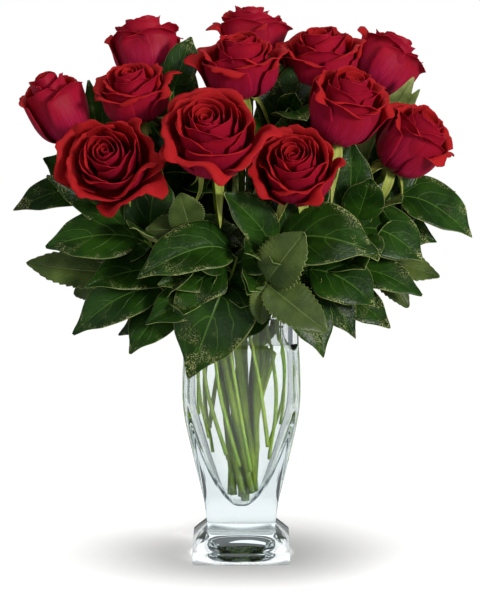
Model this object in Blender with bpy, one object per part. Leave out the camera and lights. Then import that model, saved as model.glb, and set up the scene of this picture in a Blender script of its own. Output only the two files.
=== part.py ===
"""Twelve long-stemmed roses with salal and rose foliage, standing in a square thick-walled glass vase.

Metres, +Z up, with the origin at the centre of the vase's foot. The vase's front face looks along -Y.
"""

import math

import bmesh
import bpy
import numpy as np
from mathutils import Vector

# Vase
FOOT_HALF = 0.049          # half the side of the square foot
FOOT_BAND = 0.0135         # height of the foot's upright band
WAIST_HALF = 0.0345
WAIST_HEIGHT = 0.029
BODY = ((0.053, 0.0354), (0.073, 0.0394), (0.092, 0.0440), (0.121, 0.0500), (0.144, 0.0550),
        (0.163, 0.0578), (0.173, 0.0585), (0.200, 0.0580), (0.227, 0.0563), (0.250, 0.0560))
EDGE_ROUND = 0.007         # radius of the body's four upright edges
RIM_HEIGHT = 0.254
WALL = 0.0048              # thickness of the upper wall
CAVITY_FLOOR = 0.0535
CAVITY_SPREAD = 0.1644     # half-width of the bowl = CAVITY_SPREAD * sqrt(height above its floor)
DIMPLE_RADIUS = 0.034      # round hollow under the foot
DIMPLE_DEPTH = 0.006
CORNER_STEPS = 3

# Stems and branches
ROSE_STEM = 0.0035         # radii
SALAL_STEM = 0.0019
PETIOLE = 0.0010
MOUTH_HEIGHT = 0.252
MOUTH_RADIUS = 0.0455      # where the salal stems lean on the rim
ROSE_MOUTH_RADIUS = 0.040
TOUCH_GAP = 0.0003
STEM_STEP = 0.005          # spacing of the points while the stems settle
POINT_STEP = 0.022         # spacing of a finished stem's points
FOOT_TURN = 95             # degrees that a rose stem turns round the vase between its foot and the rim
TWIG_TURN = 40             # the same for a salal stem
SETTLE_ROUNDS = 220

# Roses
HIP_LENGTH = 0.012
HIP_RADIUS = 0.0062
BLOOM_SIDES = 12
LEAF_THICKNESS = 0.0011
FRONT_PART = 0.045         # leaves nearer the front than this Y face forwards, the others face back

# Each rose: centre of its bloom, direction it faces, radius and height of the bloom, number of rim lobes,
# and the bearing in degrees and the radius at which its stem leaves the vase
ROSES = {
    "rose_01": ((-0.127, -0.095, 0.415), (-0.16, -0.86, 0.48), 0.046, 0.056, 5, 216, 0.034),
    "rose_02": ((-0.028, -0.106, 0.442), (-0.03, -0.64, 0.77), 0.049, 0.062, 6, 254, 0.034),
    "rose_03": ((0.060, -0.097, 0.407), (0.10, -0.74, 0.66), 0.043, 0.060, 5, 296, 0.034),
    "rose_04": ((0.103, -0.046, 0.459), (0.33, -0.36, 0.87), 0.041, 0.068, 5, 325, 0.030),
    "rose_05": ((0.172, -0.010, 0.421), (0.66, -0.20, 0.72), 0.038, 0.066, 5, 354, 0.035),
    "rose_06": ((0.088, 0.029, 0.502), (0.12, -0.28, 0.95), 0.040, 0.062, 6, 358, 0.018),
    "rose_07": ((0.149, 0.090, 0.490), (0.58, 0.20, 0.79), 0.038, 0.062, 5, 32, 0.034),
    "rose_08": ((0.002, -0.012, 0.499), (0.02, -0.27, 0.96), 0.041, 0.062, 6, 280, 0.010),
    "rose_09": ((0.011, 0.078, 0.524), (0.03, 0.10, 0.99), 0.039, 0.062, 5, 85, 0.026),
    "rose_10": ((-0.098, 0.048, 0.512), (-0.15, 0.20, 0.96), 0.039, 0.064, 5, 142, 0.030),
    "rose_11": ((-0.108, -0.036, 0.477), (-0.18, -0.34, 0.92), 0.037, 0.062, 5, 196, 0.017),
    "rose_12": ((-0.182, -0.022, 0.459), (-0.36, -0.12, 0.92), 0.029, 0.070, 5, 178, 0.034),
}

# Each salal sprig: bearing of its stem on the rim in degrees, height of its cut end, the points that its
# stem passes after the rim, and its leaves (share of the way from rim to end, tip, width)
SPRIGS = {
    "salal_left_high": (172, 0.128, ((-0.092, 0.012, 0.322), (-0.138, 0.010, 0.366)), (
        (1.00, (-0.226, -0.012, 0.356), 0.034),
        (0.80, (-0.152, 0.034, 0.478), 0.036),
        (0.60, (-0.168, 0.062, 0.352), 0.040),
        (0.42, (-0.118, 0.040, 0.388), 0.036))),
    "salal_left_middle": (204, 0.112, ((-0.070, -0.042, 0.308), (-0.094, -0.062, 0.332)), (
        (1.00, (-0.189, -0.070, 0.326), 0.048),
        (0.90, (-0.190, -0.040, 0.392), 0.030),
        (0.60, (-0.150, 0.012, 0.296), 0.040),
        (0.42, (-0.150, -0.088, 0.290), 0.042))),
    "salal_left_low": (226, 0.100, ((-0.052, -0.050, 0.268), (-0.072, -0.060, 0.284)), (
        (1.00, (-0.165, -0.066, 0.240), 0.046),
        (0.60, (-0.108, -0.084, 0.224), 0.040),
        (0.30, (-0.122, -0.030, 0.232), 0.038))),
    "salal_front_left": (249, 0.094, ((-0.020, -0.062, 0.276), (-0.010, -0.078, 0.300),
                                      (-0.004, -0.084, 0.320)), (
        (1.00, (-0.099, -0.130, 0.307), 0.048),
        (0.62, (-0.052, -0.106, 0.204), 0.072),
        (0.80, (-0.066, -0.094, 0.272), 0.046),
        (0.35, (-0.092, -0.100, 0.256), 0.040))),
    "salal_front_right": (277, 0.120, ((0.012, -0.060, 0.272), (0.040, -0.066, 0.292),
                                       (0.058, -0.068, 0.304)), (
        (0.25, (0.002, -0.092, 0.240), 0.034),
        (0.60, (0.080, -0.090, 0.222), 0.042),
        (1.00, (0.130, -0.090, 0.274), 0.050),
        (0.80, (0.112, -0.066, 0.236), 0.040))),
    "salal_right_front": (303, 0.104, ((0.032, -0.054, 0.290), (0.033, -0.076, 0.328)), (
        (1.00, (0.129, -0.120, 0.330), 0.062),
        (0.92, (-0.018, -0.104, 0.385), 0.036),
        (0.72, (0.104, -0.070, 0.342), 0.040))),
    "salal_right_middle": (327, 0.138, ((0.085, -0.038, 0.292), (0.112, -0.040, 0.344)), (
        (0.55, (0.177, -0.060, 0.279), 0.036),
        (0.95, (0.178, -0.050, 0.310), 0.052),
        (1.00, (0.124, -0.072, 0.392), 0.036),
        (0.32, (0.146, -0.060, 0.246), 0.040))),
    "salal_right_high": (352, 0.115, ((0.105, -0.004, 0.315), (0.148, 0.004, 0.364)), (
        (1.00, (0.228, -0.010, 0.326), 0.046),
        (0.84, (0.215, 0.028, 0.368), 0.036),
        (0.44, (0.164, 0.050, 0.296), 0.042),
        (0.70, (0.196, 0.016, 0.318), 0.038))),
    "salal_tall_left": (150, 0.150, ((-0.052, 0.020, 0.360), (-0.070, 0.004, 0.452),
                                     (-0.068, 0.000, 0.470)), (
        (1.00, (-0.049, 0.000, 0.524), 0.030),
        (0.60, (-0.074, -0.040, 0.395), 0.034),
        (0.40, (-0.092, 0.020, 0.420), 0.036),
        (0.25, (-0.016, -0.036, 0.378), 0.034))),
    "salal_tall_right": (30, 0.142, ((0.046, 0.020, 0.360), (0.046, 0.006, 0.440),
                                     (0.048, 0.000, 0.458)), (
        (1.00, (0.040, 0.038, 0.510), 0.018),
        (0.90, (0.052, -0.030, 0.470), 0.024),
        (0.45, (0.090, 0.004, 0.402), 0.036),
        (0.25, (0.004, 0.036, 0.366), 0.034))),
    "salal_back_left": (128, 0.108, ((-0.070, 0.070, 0.300), (-0.100, 0.092, 0.350)), (
        (1.00, (-0.176, 0.106, 0.372), 0.046),
        (0.78, (-0.120, 0.142, 0.420), 0.042),
        (0.55, (-0.132, 0.098, 0.258), 0.050),
        (0.30, (-0.090, 0.112, 0.224), 0.042))),
    "salal_back": (104, 0.132, ((-0.022, 0.078, 0.300), (-0.030, 0.100, 0.360)), (
        (1.00, (-0.046, 0.146, 0.450), 0.044),
        (0.88, (-0.082, 0.157, 0.330), 0.048),
        (0.50, (-0.050, 0.130, 0.232), 0.056),
        (0.72, (-0.006, 0.134, 0.392), 0.040))),
    "salal_back_right": (80, 0.098, ((0.026, 0.080, 0.300), (0.044, 0.098, 0.352)), (
        (1.00, (0.066, 0.140, 0.440), 0.044),
        (0.90, (0.112, 0.155, 0.342), 0.050),
        (0.50, (0.036, 0.132, 0.236), 0.056),
        (0.70, (0.012, 0.144, 0.318), 0.044))),
    "salal_right_back": (54, 0.124, ((0.078, 0.064, 0.296), (0.108, 0.074, 0.344)), (
        (1.00, (0.190, 0.092, 0.362), 0.046),
        (0.90, (0.178, 0.042, 0.468), 0.034),
        (0.55, (0.140, 0.096, 0.256), 0.050),
        (0.34, (0.098, 0.112, 0.222), 0.042))),
}

# Each compound rose leaf: the rose whose stem bears it, the height where it leaves the stem, the point where
# its leaflets meet, and the leaflets (tip, width)
ROSE_LEAVES = {
    "rose_leaf_front": ("rose_03", 0.292, (0.023, -0.116, 0.300), (
        ((0.058, -0.134, 0.352), 0.042), ((0.081, -0.134, 0.256), 0.038), ((0.018, -0.122, 0.262), 0.022))),
    "rose_leaf_left": ("rose_01", 0.300, (-0.116, -0.046, 0.297), (
        ((-0.211, -0.030, 0.304), 0.034), ((-0.166, -0.034, 0.274), 0.032))),
    "rose_leaf_centre": ("rose_02", 0.318, (-0.048, -0.084, 0.345), (
        ((-0.058, -0.102, 0.384), 0.030), ((-0.092, -0.086, 0.346), 0.028))),
    "rose_leaf_right": ("rose_05", 0.322, (0.120, -0.018, 0.312), (
        ((0.166, -0.030, 0.260), 0.030), ((0.196, -0.026, 0.290), 0.030))),
    "rose_leaf_back_left": ("rose_10", 0.330, (-0.080, 0.066, 0.378), (
        ((-0.122, 0.064, 0.438), 0.034), ((-0.156, 0.056, 0.386), 0.032))),
    "rose_leaf_back_right": ("rose_07", 0.330, (0.092, 0.086, 0.372), (
        ((0.152, 0.106, 0.402), 0.036), ((0.090, 0.120, 0.424), 0.034))),
}


def clear_scene():
    for item in list(bpy.data.objects):
        bpy.data.objects.remove(item, do_unlink=True)


def finish(name, colour, roughness, transmission=0.0):
    """A Principled material with the part's own colour."""
    material = bpy.data.materials.new(name)
    material.use_nodes = True
    shader = material.node_tree.nodes["Principled BSDF"]
    shader.inputs["Base Color"].default_value = (*colour, 1.0)
    shader.inputs["Roughness"].default_value = roughness
    shader.inputs["Metallic"].default_value = 0.0
    shader.inputs["Transmission Weight"].default_value = transmission
    shader.inputs["IOR"].default_value = 1.5
    material.diffuse_color = (*colour, 1.0)
    return material


def mesh_object(name, shape, material):
    """Turns a closed bmesh into a named object with its faces pointing out."""
    if shape.calc_volume(signed=True) < 0:
        bmesh.ops.reverse_faces(shape, faces=shape.faces)
    mesh = bpy.data.meshes.new(name)
    shape.to_mesh(mesh)
    shape.free()
    mesh.shade_smooth()
    mesh.set_sharp_from_angle(angle=math.radians(35))
    mesh.materials.append(material)
    item = bpy.data.objects.new(name, mesh)
    bpy.context.scene.collection.objects.link(item)
    return item


def loft(shape, rings, start=None, end=None):
    """Joins rings of points into a closed skin, with a point or a flat face at each end."""
    loops = [[shape.verts.new(point) for point in ring] for ring in rings]
    count = len(loops[0])
    for below, above in zip(loops, loops[1:]):
        for i in range(count):
            j = (i + 1) % count
            shape.faces.new((below[i], below[j], above[j], above[i]))
    for loop, pole in ((loops[0], start), (loops[-1], end)):
        if pole is None:
            shape.faces.new(loop)
            continue
        top = shape.verts.new(pole)
        for i in range(count):
            shape.faces.new((loop[i], loop[(i + 1) % count], top))
    bmesh.ops.recalc_face_normals(shape, faces=shape.faces)
    return shape


def frame_about(axis):
    """Two unit vectors square to an axis."""
    axis = Vector(axis).normalized()
    side = axis.cross(Vector((0.0, 0.0, 1.0)))
    if side.length < 0.05:
        side = Vector((1.0, 0.0, 0.0))
    side.normalize()
    return side, side.cross(axis).normalized()


# ---------------------------------------------------------------- vase

def rounded_square(half, corner, height):
    """A ring of points: a square of this half-width with round corners."""
    corner = min(corner, 0.92 * half)
    ring = []
    for quarter in range(4):
        middle = math.radians(90 * quarter + 45)
        centre = Vector((math.copysign(half - corner, math.cos(middle)),
                         math.copysign(half - corner, math.sin(middle)), height))
        for step in range(CORNER_STEPS + 1):
            turn = math.radians(90 * quarter + 90 * step / CORNER_STEPS)
            ring.append(centre + Vector((math.cos(turn), math.sin(turn), 0.0)) * corner)
    return ring


def body_half(height):
    """Half-width of the vase's outside at a height, between its foot's top and its rim."""
    heights, halves = zip((WAIST_HEIGHT, WAIST_HALF), *BODY)
    return float(np.interp(height, heights, halves))


def cavity_half(height):
    """Half-width of the hollow: a bowl that widens as a parabola until the upper wall limits it."""
    bowl = CAVITY_SPREAD * math.sqrt(max(height - CAVITY_FLOOR, 0.0))
    return min(bowl, body_half(height) - WALL)


def make_vase(glass):
    rings = [rounded_square(DIMPLE_RADIUS * math.sin(turn), 1.0, DIMPLE_DEPTH * math.cos(turn))
             for turn in (math.radians(25), math.radians(55), math.radians(90))]
    rings.append(rounded_square(FOOT_HALF - 0.0012, 0.004, 0.0))
    rings.append(rounded_square(FOOT_HALF, 0.004, 0.0012))
    rings.append(rounded_square(FOOT_HALF, 0.004, FOOT_BAND))
    rings.append(rounded_square(WAIST_HALF + 0.0015, 0.005, WAIST_HEIGHT - 0.002))
    rings.append(rounded_square(WAIST_HALF, 0.006, WAIST_HEIGHT + 0.002))
    rings += [rounded_square(half, EDGE_ROUND, height) for height, half in BODY]
    lip = (body_half(0.250) - 0.0004, RIM_HEIGHT - 0.0012)
    rings.append(rounded_square(lip[0], EDGE_ROUND, lip[1]))
    rings.append(rounded_square(lip[0] - 0.0014, EDGE_ROUND, RIM_HEIGHT))
    rings.append(rounded_square(lip[0] - WALL + 0.0016, 0.012, RIM_HEIGHT))
    inside = [0.2515, 0.227, 0.200, 0.176, 0.155, 0.138, 0.118, 0.098, 0.080, 0.067, 0.059, 0.0550]
    for height in inside:
        share = (height - CAVITY_FLOOR) / (RIM_HEIGHT - CAVITY_FLOOR)
        half = cavity_half(height)
        rings.append(rounded_square(half, half * (1.0 - 0.72 * min(share * 1.8, 1.0)), height))
    vase = loft(bmesh.new(), rings, start=(0, 0, DIMPLE_DEPTH), end=(0, 0, CAVITY_FLOOR))
    return mesh_object("vase", vase, glass)


# ---------------------------------------------------------------- routes

def smooth_route(points, step):
    """Even points along a curve through a few chosen ones (Catmull-Rom)."""
    points = [Vector(p) for p in points]
    points = [2 * points[0] - points[1], *points, 2 * points[-1] - points[-2]]
    fine = []
    for a, b, c, d in zip(points, points[1:], points[2:], points[3:]):
        for i in range(24):
            t = i / 24
            fine.append(0.5 * (2 * b + (c - a) * t + (2 * a - 5 * b + 4 * c - d) * t * t
                               + (3 * b - a - 3 * c + d) * t ** 3))
    fine.append(points[-2])
    return resample(np.array(fine), step)


def resample(points, step):
    """The same route with evenly spaced points."""
    lengths = np.concatenate([[0.0], np.cumsum(np.linalg.norm(np.diff(points, axis=0), axis=1))])
    count = max(int(round(lengths[-1] / step)), 2) + 1
    at = np.linspace(0.0, lengths[-1], count)
    return np.column_stack([np.interp(at, lengths, points[:, i]) for i in range(3)])


def on_rim(bearing, radius=MOUTH_RADIUS, height=MOUTH_HEIGHT):
    turn = math.radians(bearing)
    return (radius * math.cos(turn), radius * math.sin(turn), height)


def branch_route(bearing, foot, after):
    """A salal stem: down the glass to its cut end, out over the rim and on through its own points."""
    low = on_rim(bearing + TWIG_TURN, cavity_half(foot) - 0.0055, foot)
    middle = 0.5 * (foot + MOUTH_HEIGHT)
    wall = on_rim(bearing + 0.4 * TWIG_TURN, min(cavity_half(middle) - 0.0045, MOUTH_RADIUS), middle)
    return smooth_route([low, wall, on_rim(bearing), *after], STEM_STEP)


def past_rim(route):
    """The part of a route above the rim."""
    return route[int(np.argmax(route[:, 2] >= MOUTH_HEIGHT)):]


def stem_end(rose):
    """Where a rose's stem meets its hip."""
    centre, faces, radius, height = ROSES[rose][:4]
    axis = Vector(faces).normalized()
    return Vector(centre) - axis * (0.52 * height + HIP_LENGTH + 2 * TOUCH_GAP), axis


def first_rose_route(rose):
    """A rose stem before it is eased clear. All the stems spiral the same way, so they cross at a waist."""
    end, axis = stem_end(rose)
    bearing, radius = ROSES[rose][5:]
    foot = Vector(on_rim(bearing + FOOT_TURN, 0.002 + 0.42 * radius, 0.0))
    foot.z = CAVITY_FLOOR + ((foot.length + ROSE_STEM) / CAVITY_SPREAD) ** 2 + 0.001
    mouth = Vector(on_rim(bearing, radius))
    rise = (mouth - foot).normalized()
    reach = (end - mouth).length
    low = mouth + rise * 0.33 * reach
    high = end - axis * 0.30 * reach
    bend = [mouth.lerp(low, t).lerp(low.lerp(high, t), t).lerp(
        low.lerp(high, t).lerp(high.lerp(end, t), t), t) for t in (0.25, 0.5, 0.75)]
    return smooth_route([foot, foot.lerp(mouth, 0.5), mouth, *bend, end - axis * 0.012, end], STEM_STEP)


def settle(routes, branches):
    """Eases the rose stems apart, clear of the salal stems, the blooms and the glass."""
    names = list(routes)
    owner = np.concatenate([np.full(len(routes[name]), i) for i, name in enumerate(names)])
    points = np.concatenate([routes[name] for name in names])
    rest = points.copy()
    first = np.array([np.argmax(owner == i) for i in range(len(names))])
    last = np.array([np.max(np.nonzero(owner == i)) for i in range(len(names))])
    held = np.zeros(len(points), bool)
    for end in last:
        held[end - 2:end + 1] = True
    inner = np.ones(len(points), bool)
    inner[first] = inner[last] = False
    greens = np.concatenate(list(branches.values()))
    apart = 2 * ROSE_STEM + 0.0013
    clear = ROSE_STEM + SALAL_STEM + 0.0014
    centres = np.array([np.array(ROSES[name][0]) - 0.1 * ROSES[name][3] * np.array(ROSES[name][1])
                        for name in names])
    keep_off = np.array([ROSES[name][2] * 0.92 + ROSE_STEM for name in names])
    for _ in range(SETTLE_ROUNDS):
        move = np.zeros_like(points)
        gap = points[:, None, :] - points[None, :, :]
        far = np.linalg.norm(gap, axis=2) + (owner[:, None] == owner[None, :])
        near = np.clip(apart - far, 0.0, None)
        move += 0.5 * (gap / far[:, :, None] * near[:, :, None]).sum(axis=1)
        gap = points[:, None, :] - greens[None, :, :]
        far = np.linalg.norm(gap, axis=2) + 1e-9
        move += 0.8 * (gap / far[:, :, None] * np.clip(clear - far, 0.0, None)[:, :, None]).sum(axis=1)
        gap = points[:, None, :] - centres[None, :, :]
        far = np.linalg.norm(gap, axis=2) + (owner[:, None] == np.arange(len(names))[None, :])
        near = np.clip(keep_off[None, :] - far, 0.0, None)
        move += 0.5 * (gap / far[:, :, None] * near[:, :, None]).sum(axis=1)
        ease = np.zeros_like(points)
        ease[1:-1] = 0.5 * (points[:-2] + points[2:]) - points[1:-1]
        move[inner] += 0.2 * ease[inner]
        move += 0.004 * (rest - points)
        move[held] = 0.0
        points = points + move
        for i in np.nonzero(points[:, 2] < MOUTH_HEIGHT + 0.006)[0]:
            low = CAVITY_FLOOR + ((np.hypot(*points[i, :2]) + ROSE_STEM + 0.001) / CAVITY_SPREAD) ** 2
            if i in first:
                points[i, 2] = max(low, CAVITY_FLOOR + 0.002)
            room = cavity_half(points[i, 2]) - ROSE_STEM - 0.0008
            room = min(room, ROSE_MOUTH_RADIUS) if points[i, 2] > 0.2 else room
            reach = np.hypot(*points[i, :2])
            if reach > max(room, 0.0):
                points[i, :2] *= max(room, 0.0) / reach
    settled = {}
    for i, name in enumerate(names):
        end, axis = stem_end(name)
        straight = [tuple(end - axis * 0.008), tuple(end)]
        settled[name] = np.vstack([resample(points[owner == i][:-3], POINT_STEP), straight])
    return settled


# ---------------------------------------------------------------- stems, hips and blooms

def tube_curve(name, points, radius):
    """A round stem as a curve with a bevel and closed ends."""
    curve = bpy.data.curves.new(name, "CURVE")
    curve.dimensions = "3D"
    curve.bevel_depth = radius
    curve.bevel_resolution = 2
    curve.use_fill_caps = True
    spline = curve.splines.new("POLY")
    spline.points.add(len(points) - 1)
    for point, place in zip(spline.points, points):
        point.co = (*place, 1.0)
    return curve


def make_stem(rose, route, material):
    curve = tube_curve(rose + "_stem", route, ROSE_STEM)
    curve.materials.append(material)
    item = bpy.data.objects.new(curve.name, curve)
    bpy.context.scene.collection.objects.link(item)
    return item


def turned(origin, axis, profile, sides, lobe=None):
    """Rings of a shape turned about an axis: profile holds (radius, distance along the axis)."""
    side, up = frame_about(axis)
    axis = Vector(axis).normalized()
    rings = []
    for radius, along in profile:
        ring = []
        for i in range(sides):
            turn = 2 * math.pi * i / sides
            grow, lift = lobe(turn, radius, along) if lobe else (1.0, 0.0)
            out = side * math.cos(turn) + up * math.sin(turn)
            ring.append(Vector(origin) + out * radius * grow + axis * (along + lift))
        rings.append(ring)
    return rings


def make_calyx(rose, material):
    """The green hip under a bloom, with five sepals drawn out of its rim and bent back."""
    base, axis = stem_end(rose)
    base = base + axis * TOUCH_GAP
    profile = ((0.0036, 0.0), (0.0046, 0.003), (HIP_RADIUS, 0.007), (HIP_RADIUS, HIP_LENGTH - 0.0025),
               (HIP_RADIUS - 0.0008, HIP_LENGTH))
    shape = loft(bmesh.new(), turned(base, axis, profile, 10))
    shape.faces.ensure_lookup_table()
    band = [face for face in shape.faces if len(face.verts) == 4
            and all((v.co - base).dot(axis) > 0.0065 for v in face.verts)
            and all((v.co - base).dot(axis) < HIP_LENGTH - 0.002 for v in face.verts)]
    side, up = frame_about(axis)
    for face in band:
        out = face.calc_center_median() - base
        out = (out - axis * out.dot(axis)).normalized()
        turn = math.atan2(out.dot(up), out.dot(side)) % (2 * math.pi)
        if int(turn / (2 * math.pi / 10)) % 2:
            continue
        for reach, drop, size in ((0.005, 0.0004, 0.90), (0.008, -0.004, 0.80), (0.006, -0.009, 0.20)):
            made = bmesh.ops.extrude_discrete_faces(shape, faces=[face])
            face = made["faces"][0]
            bmesh.ops.translate(shape, verts=face.verts, vec=out * reach + axis * drop)
            middle = face.calc_center_median()
            for vert in face.verts:
                offset = vert.co - middle
                along = out.cross(axis)
                vert.co = middle + along * offset.dot(along) * size + axis * offset.dot(axis) * 0.62
    return mesh_object(rose + "_calyx", shape, material)


def make_bloom(rose, material):
    """A bloom's outer form: a full goblet with a lobed rim and the whorl of inner petals closed over."""
    centre, faces, radius, height, lobes = ROSES[rose][:5]
    axis = Vector(faces).normalized()
    base = Vector(centre) - axis * 0.52 * height
    profile = ((0.12, 0.0), (0.46, 0.05), (0.76, 0.21), (0.92, 0.46), (0.98, 0.74), (1.0, 0.93),
               (0.80, 0.96), (0.56, 0.88), (0.40, 1.0), (0.18, 0.98))
    profile = [(share * radius, rise * height) for share, rise in profile]

    def lobe(turn, reach, along):
        edge = (reach / radius) ** 2 * min(along / height, 1.0)
        return 1.0 + 0.07 * edge * math.cos(lobes * turn), -0.05 * height * edge * math.cos(lobes * turn)

    rings = turned(base, axis, profile, BLOOM_SIDES, lobe)
    shape = loft(bmesh.new(), rings, end=base + axis * 0.92 * height)
    return mesh_object(rose + "_bloom", shape, material)


# ---------------------------------------------------------------- leaves

def leaf_shape(start, leave, tip, width, face, petiole):
    """A closed leaf blade on its stalk. It leaves its stem along one direction and arches over to its tip."""
    start, tip = Vector(start), Vector(tip)
    reach = (tip - start).length
    bend = start + Vector(leave).normalized() * 0.42 * reach
    stalk = petiole / reach
    across = (tip - start).cross(Vector(face))
    rings = []
    for share in (0.0, stalk, 0.26, 0.40, 0.56, 0.72, 0.87):
        middle = start.lerp(bend, share).lerp(bend.lerp(tip, share), share)
        along = ((bend - start) * (1 - share) + (tip - bend) * share).normalized()
        side = (across - along * along.dot(across)).normalized()
        normal = side.cross(along)
        blade = max((share - stalk) / (1 - stalk), 0.0)
        half = PETIOLE + (0.5 * width - PETIOLE) * 2.55 * blade ** 0.55 * (1 - blade) ** 0.85
        lift = 0.18 * (half - PETIOLE)
        thick = 0.5 * LEAF_THICKNESS if blade > 0 else PETIOLE
        rings.append([middle - side * half + normal * lift, middle - normal * thick,
                      middle + side * half + normal * lift, middle + normal * thick])
    return loft(bmesh.new(), rings, end=tip)


def leaf_facing(start, tip):
    """The upper face of a leaf looks up and to the front, or to the back in the rear part of the bunch."""
    middle = (Vector(start) + Vector(tip)) / 2
    front = 1.0 if middle.y > FRONT_PART else -1.0
    return Vector((1.5 * middle.x, 0.8 * front, 0.6))


def union_of(name, stem, leaves, material):
    """One grown piece: a stem with its leaves joined on by a Boolean."""
    item = mesh_object(name, stem, material)
    cutters = bpy.data.collections.new(name + "_leaves")
    bpy.context.scene.collection.children.link(cutters)
    cutters.hide_render = True
    for i, leaf in enumerate(leaves):
        helper = mesh_object(f"{name}_leaf_{i + 1}", leaf, material)
        bpy.context.scene.collection.objects.unlink(helper)
        cutters.objects.link(helper)
        helper.hide_render = True
        helper.display_type = "WIRE"
        joined = item.modifiers.new(f"leaf_{i + 1}", "BOOLEAN")
        joined.operation = "UNION"
        joined.solver = "EXACT"
        joined.object = helper
    return item


def tube_shape(route, radius, sides=6):
    """A closed tube with a flat cut at each end. Its sides don't twist as it bends."""
    rings = []
    side = frame_about(Vector(route[1]) - Vector(route[0]))[0]
    for i, place in enumerate(route):
        ahead = (Vector(route[min(i + 1, len(route) - 1)]) - Vector(route[max(i - 1, 0)])).normalized()
        side = (side - ahead * side.dot(ahead)).normalized()
        up = ahead.cross(side)
        rings.append([Vector(place) + (side * math.cos(2 * math.pi * k / sides)
                                       + up * math.sin(2 * math.pi * k / sides)) * radius
                      for k in range(sides)])
    return loft(bmesh.new(), rings)


def make_sprig(name, route, leaves, material):
    """A salal sprig: a woody stem with broad leaves along its upper part."""
    top = past_rim(route)
    blades = []
    for share, tip, width in leaves:
        at = share * (len(top) - 1) - 0.35
        start = Vector(top[int(at)]).lerp(Vector(top[min(int(at) + 1, len(top) - 1)]), at - int(at))
        stem_way = Vector(top[min(int(at) + 1, len(top) - 1)]) - Vector(top[int(at)])
        leave = stem_way.normalized() * 0.7 + (Vector(tip) - start).normalized() * 0.8
        leave.z += 0.30
        blades.append(leaf_shape(start, leave, tip, width, leaf_facing(start, tip), 0.011))
    return union_of(name, tube_shape(resample(route, POINT_STEP), SALAL_STEM), blades, material)


def make_rose_leaf(name, stem, height, fork, leaflets, material):
    """A compound rose leaf: a thin stalk from the rose's stem to the point where its leaflets meet."""
    index = int(np.argmin(np.abs(stem[:, 2] - height)))
    at = Vector(stem[index])
    along = (Vector(stem[index + 1]) - at).normalized()
    way = Vector(fork) - at
    way = (way - along * way.dot(along)).normalized()
    start = at + way * (ROSE_STEM + PETIOLE + 2 * TOUCH_GAP)
    half_way = start.lerp(Vector(fork), 0.5) + Vector((0.0, 0.0, 0.006))
    stalk = smooth_route([start, half_way, fork], STEM_STEP)
    blades = []
    for tip, width in leaflets:
        leave = way * 0.5 + (Vector(tip) - Vector(fork)).normalized()
        inside = Vector(stalk[-1]).lerp(Vector(stalk[-2]), 0.3)
        blades.append(leaf_shape(inside, leave, tip, width, leaf_facing(fork, tip), 0.005))
    return union_of(name, tube_shape(resample(stalk, POINT_STEP), PETIOLE * 1.1), blades, material)


def main():
    clear_scene()
    glass = finish("clear_glass", (0.86, 0.93, 0.93), 0.03, transmission=1.0)
    red = finish("rose_petals", (0.42, 0.010, 0.022), 0.55)
    stem_green = finish("rose_stem_green", (0.20, 0.33, 0.06), 0.45)
    sepal_green = finish("rose_sepals", (0.36, 0.42, 0.10), 0.5)
    salal_green = finish("salal_leaves", (0.020, 0.085, 0.018), 0.32)
    leaf_green = finish("rose_leaves", (0.075, 0.13, 0.035), 0.6)

    make_vase(glass)
    branches = {name: branch_route(*spec[:3]) for name, spec in SPRIGS.items()}
    stems = settle({rose: first_rose_route(rose) for rose in ROSES}, branches)
    for rose, route in stems.items():
        make_stem(rose, route, stem_green)
        make_calyx(rose, sepal_green)
        make_bloom(rose, red)
    for name, spec in SPRIGS.items():
        make_sprig(name, branches[name], spec[3], salal_green)
    for name, (rose, height, fork, leaflets) in ROSE_LEAVES.items():
        make_rose_leaf(name, stems[rose], height, fork, leaflets, leaf_green)


main()
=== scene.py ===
# A dozen red roses with salal and rose leaves in a square, flared, clear glass vase.
import math

import bpy
import numpy as np
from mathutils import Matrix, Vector


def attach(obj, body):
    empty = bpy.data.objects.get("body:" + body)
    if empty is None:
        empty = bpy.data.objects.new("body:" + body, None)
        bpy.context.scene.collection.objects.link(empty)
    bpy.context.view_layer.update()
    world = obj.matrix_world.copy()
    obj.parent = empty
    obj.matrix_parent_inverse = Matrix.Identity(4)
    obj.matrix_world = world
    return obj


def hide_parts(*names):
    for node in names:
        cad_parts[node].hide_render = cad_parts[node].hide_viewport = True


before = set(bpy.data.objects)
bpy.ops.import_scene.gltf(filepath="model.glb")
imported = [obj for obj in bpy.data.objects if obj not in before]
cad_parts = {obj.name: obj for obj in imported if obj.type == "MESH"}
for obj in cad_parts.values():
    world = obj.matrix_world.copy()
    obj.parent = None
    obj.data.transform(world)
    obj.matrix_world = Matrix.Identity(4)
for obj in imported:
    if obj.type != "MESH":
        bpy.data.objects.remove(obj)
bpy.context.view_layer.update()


# small helpers

def smoothStep(low, high, x):
    t = np.clip((x - low) / (high - low), 0.0, 1.0)
    return t * t * (3.0 - 2.0 * t)


def unit(v):
    return v / np.maximum(np.linalg.norm(v, axis=-1, keepdims=True), 1e-12)


def squareTo(axis):      # two unit vectors square to an axis, right-handed with it
    axis = unit(np.asarray(axis, float))
    side = np.cross(np.array([0.0, 0.0, 1.0]), axis)
    side = unit(side) if np.linalg.norm(side) > 0.05 else np.array([1.0, 0.0, 0.0])
    return side, np.cross(axis, side)


def resample(points, step):      # the same route with evenly spaced points
    lengths = np.concatenate([[0.0], np.cumsum(np.linalg.norm(np.diff(points, axis=0), axis=1))])
    count = max(int(round(lengths[-1] / step)), 2) + 1
    at = np.linspace(0.0, lengths[-1], count)
    return np.column_stack([np.interp(at, lengths, points[:, i]) for i in range(3)])


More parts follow.
